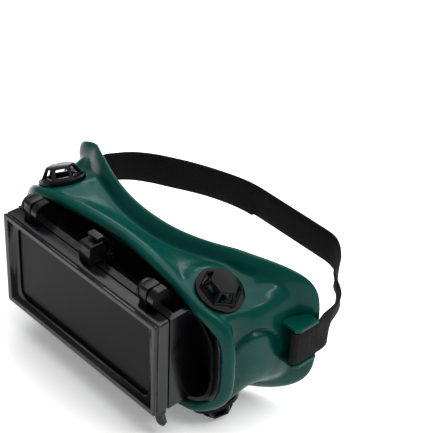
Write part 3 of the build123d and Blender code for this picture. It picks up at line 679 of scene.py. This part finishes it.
def make_strap():
    """The elastic head strap: one band, wrapped round both lug bars."""
    line, at = resample(rounded_route(STRAP_ROUTE), STRAP_STEP)
    ahead = np.gradient(line, axis=0)
    ahead /= np.linalg.norm(ahead, axis=1)[:, None]
    side = np.stack([ahead[:, 1], -ahead[:, 0]], axis=1)
    length = at[-1]
    free = smooth_step(24, 50, at) * smooth_step(24, 50, length - at)
    on_back = smooth_step(STRAP_BACK_Y - 4, STRAP_BACK_Y - 1, line[:, 1]) * (line[:, 0] > -14)
    loose = free * (1 - on_back)
    twisting = smooth_step(28, 40, at) * (1 - smooth_step(78, 92, at))
    tilt = loose * (0.05 * np.sin(at / 11.0) + 0.06 * np.sin(at / 23.0))
    tilt = tilt + twisting * 0.22 * np.sin(at / 6.5)
    lift = loose * 0.8 * np.sin(at / 31.0)
    half_w, half_t, edge = STRAP_W / 2, STRAP_T / 2, STRAP_EDGE
    profile = (
        (-half_w, -half_t + edge), (-half_w + edge, -half_t), (-half_w / 2, -half_t), (0, -half_t),
        (half_w / 2, -half_t), (half_w - edge, -half_t), (half_w, -half_t + edge),
        (half_w, half_t - edge), (half_w - edge, half_t), (half_w / 2, half_t), (0, half_t),
        (-half_w / 2, half_t), (-half_w + edge, half_t), (-half_w, half_t - edge),
    )
    points, coordinates = [], []
    for k in range(len(line)):
        outward = np.array([side[k, 0], side[k, 1], 0])
        upward = np.array([0, 0, 1.0])
        c, s = math.cos(tilt[k]), math.sin(tilt[k])
        middle = np.array([line[k, 0], line[k, 1], STRAP_Z + lift[k]])
        for up, out in profile:
            points.append(middle + upward * (up * c - out * s) + outward * (out * c + up * s))
            coordinates.append((at[k] * MM, up * MM))
    count = len(profile)
    faces = grid_faces(len(line), count, False)
    faces.append(tuple(range(count)))
    faces.append(tuple(range(len(points) - count, len(points))))
    mesh = bpy.data.meshes.new("elastic_strap")
    mesh.from_pydata([tuple(p * MM) for p in points], [], faces)
    uv = mesh.uv_layers.new(name="band")
    for loop in mesh.loops:
        uv.data[loop.index].uv = coordinates[loop.vertex_index]
    shape = bmesh.new()
    shape.from_mesh(mesh)
    bmesh.ops.recalc_face_normals(shape, faces=shape.faces)
    shape.to_mesh(mesh)
    shape.free()
    mesh.shade_smooth()
    mesh.materials.append(FINISHES["webbing"])
    strap = bpy.data.objects.new("elastic_strap", mesh)
    bpy.context.scene.collection.objects.link(strap)
    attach(strap, "mask")
    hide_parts("head_strap")


STITCH_PITCH = 1.5
STITCH_L = 1.1
STITCH_R = 0.22
STITCH_ROWS_Y = (72.6, 75.0)


def stitch_row_tree():
    """Node group: a straight row of rounded stitches with named sizes."""
    tree = bpy.data.node_groups.new("stitch_row", "GeometryNodeTree")
    for name, kind in (
        ("Count", "NodeSocketInt"), ("Start", "NodeSocketVector"), ("Step", "NodeSocketVector"),
        ("Size", "NodeSocketVector"), ("Thread", "NodeSocketMaterial"),
    ):
        tree.interface.new_socket(name, in_out="INPUT", socket_type=kind)
    tree.interface.new_socket("Geometry", in_out="OUTPUT", socket_type="NodeSocketGeometry")
    sizes = tree.nodes.new("NodeGroupInput").outputs
    line = tree.nodes.new("GeometryNodeMeshLine")
    bead = tree.nodes.new("GeometryNodeMeshUVSphere")
    bead.inputs["Segments"].default_value = 8
    bead.inputs["Rings"].default_value = 5
    place = tree.nodes.new("GeometryNodeInstanceOnPoints")
    real = tree.nodes.new("GeometryNodeRealizeInstances")
    smooth = tree.nodes.new("GeometryNodeSetShadeSmooth")
    finish = tree.nodes.new("GeometryNodeSetMaterial")
    result = tree.nodes.new("NodeGroupOutput")
    for source, target in (
        (sizes["Count"], line.inputs["Count"]),
        (sizes["Start"], line.inputs["Start Location"]),
        (sizes["Step"], line.inputs["Offset"]),
        (line.outputs["Mesh"], place.inputs["Points"]),
        (bead.outputs["Mesh"], place.inputs["Instance"]),
        (sizes["Size"], place.inputs["Scale"]),
        (place.outputs["Instances"], real.inputs["Geometry"]),
        (real.outputs["Geometry"], smooth.inputs["Geometry"]),
        (smooth.outputs["Geometry"], finish.inputs["Geometry"]),
        (sizes["Thread"], finish.inputs["Material"]),
        (finish.outputs["Geometry"], result.inputs["Geometry"]),
    ):
        tree.links.new(source, target)
    return tree


def make_stitches():
    """Two rows of stitches across each end of the strap, on its outer face."""
    tree = stitch_row_tree()
    keys = {item.name: item.identifier for item in tree.interface.items_tree if item.in_out == "INPUT"}
    count = int((STRAP_W - 3.0) / STITCH_PITCH) + 1
    thread = thread_finish()
    for side, sign in (("left", -1), ("right", 1)):
        for number, y in enumerate(STITCH_ROWS_Y, 1):
            name = f"strap_stitches_{side}_{number}"
            row = bpy.data.objects.new(name, bpy.data.meshes.new(name))
            bpy.context.scene.collection.objects.link(row)
            nodes = row.modifiers.new("Stitches", "NODES")
            nodes.node_group = tree
            start = (sign * (OUTER_X + STRAP_T / 2), y, STRAP_Z - (count - 1) * STITCH_PITCH / 2)
            nodes[keys["Count"]] = count
            nodes[keys["Start"]] = [c * MM for c in start]
            nodes[keys["Step"]] = [0.0, 0.0, STITCH_PITCH * MM]
            nodes[keys["Size"]] = [STITCH_R * MM, STITCH_R * MM, STITCH_L / 2 * MM]
            nodes[keys["Thread"]] = thread
            shaped = row.evaluated_get(bpy.context.evaluated_depsgraph_get())
            mesh = bpy.data.meshes.new_from_object(shaped)
            row.modifiers.remove(nodes)
            row.data = mesh
            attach(row, "mask")


# ---------------------------------------------------------------- stage

# Floor, in metres: how far it lies under the goggles and half its width; and its own glow
FLOOR_GAP = 0.0002
FLOOR_HALF = 3.0
FLOOR_GLOW = 0.2
# Lights: strengths, the overhead panel's spread and direction
PANEL_STRENGTH = 2.9
PANEL_SPREAD = math.radians(84)
PANEL_FROM = (0.05, 0.35, 0.93)
LIGHT_TARGET = (0, 40, 0)
ROOM_STRENGTH = 0.34


def make_stage():
    """A pale floor under the goggles, faintly lit of itself to soften the shadow."""
    low = cad_bounds[0][2] - FLOOR_GAP
    half = FLOOR_HALF
    corners = [(-half, -half, low), (half, -half, low), (half, half, low), (-half, half, low)]
    mesh = bpy.data.meshes.new("floor")
    mesh.from_pydata(corners, [], [(0, 1, 2, 3)])
    floor = bpy.data.objects.new("floor", mesh)
    bpy.context.scene.collection.objects.link(floor)
    pale = Finish("pale_floor", (0.93, 0.93, 0.93), 0.8, Specular_IOR_Level=0.2)
    pale.shader.inputs["Emission Color"].default_value = (1, 1, 1, 1)
    pale.shader.inputs["Emission Strength"].default_value = FLOOR_GLOW
    pale.roughness(pale.remap(pale.noise(3, 1), 0.78, 0.84))
    mesh.materials.append(pale.material)


def area_light(name, place, target, size, power):
    """A soft square white light aimed at a point, in millimetres and watts."""
    data = bpy.data.lights.new(name, "AREA")
    data.energy = power
    data.size = size * MM
    light = bpy.data.objects.new(name, data)
    bpy.context.scene.collection.objects.link(light)
    light.location = Vector(place) * MM
    light.rotation_euler = (Vector(target) - Vector(place)).to_track_quat("-Z", "Y").to_euler()


def make_lights():
    """Soft studio light: a broad panel overhead, two small ones, and a pale room."""
    sun = bpy.data.lights.new("sky_panel", "SUN")
    sun.energy = PANEL_STRENGTH
    sun.angle = PANEL_SPREAD
    panel = bpy.data.objects.new("sky_panel", sun)
    bpy.context.scene.collection.objects.link(panel)
    panel.rotation_euler = Vector(PANEL_FROM).to_track_quat("Z", "Y").to_euler()
    area_light("side_light", (620, 120, 760), LIGHT_TARGET, 160, 0.9)
    area_light("back_light", (-700, 800, 500), LIGHT_TARGET, 300, 0.8)
    world = bpy.data.worlds.new("studio")
    bpy.context.scene.world = world
    world.use_nodes = True
    background = world.node_tree.nodes["Background"]
    background.inputs["Color"].default_value = (1, 1, 1, 1)
    background.inputs["Strength"].default_value = ROOM_STRENGTH


def make_camera():
    """The camera, set by its bearing from the goggles."""
    turn, rise, roll = (math.radians(a) for a in (CAMERA_AZIMUTH, CAMERA_ELEVATION, CAMERA_ROLL))
    back = Vector((math.sin(turn) * math.cos(rise), -math.cos(turn) * math.cos(rise), math.sin(rise)))
    right = Vector((math.cos(turn), math.sin(turn), 0))
    up = back.cross(right)
    rolled_right = right * math.cos(roll) + up * math.sin(roll)
    rolled_up = up * math.cos(roll) - right * math.sin(roll)
    data = bpy.data.cameras.new("camera")
    data.sensor_fit = "HORIZONTAL"
    data.sensor_width = SENSOR_W
    data.lens = CAMERA_LENS
    data.clip_start = 0.01
    camera = bpy.data.objects.new("camera", data)
    bpy.context.scene.collection.objects.link(camera)
    turn_matrix = Matrix((rolled_right, rolled_up, back)).transposed().to_4x4()
    place = (Vector(CAMERA_TARGET) + back * CAMERA_DISTANCE) * MM
    camera.matrix_world = Matrix.Translation(place) @ turn_matrix
    bpy.context.scene.camera = camera


make_camera()
make_lights()
make_stage()
dress_cad_nodes()
make_mouldings()
make_mask()
make_lugs()
make_strap()
make_stitches()
bpy.context.scene.view_settings.view_transform = "Standard"
bpy.context.scene.view_settings.look = "Medium High Contrast"
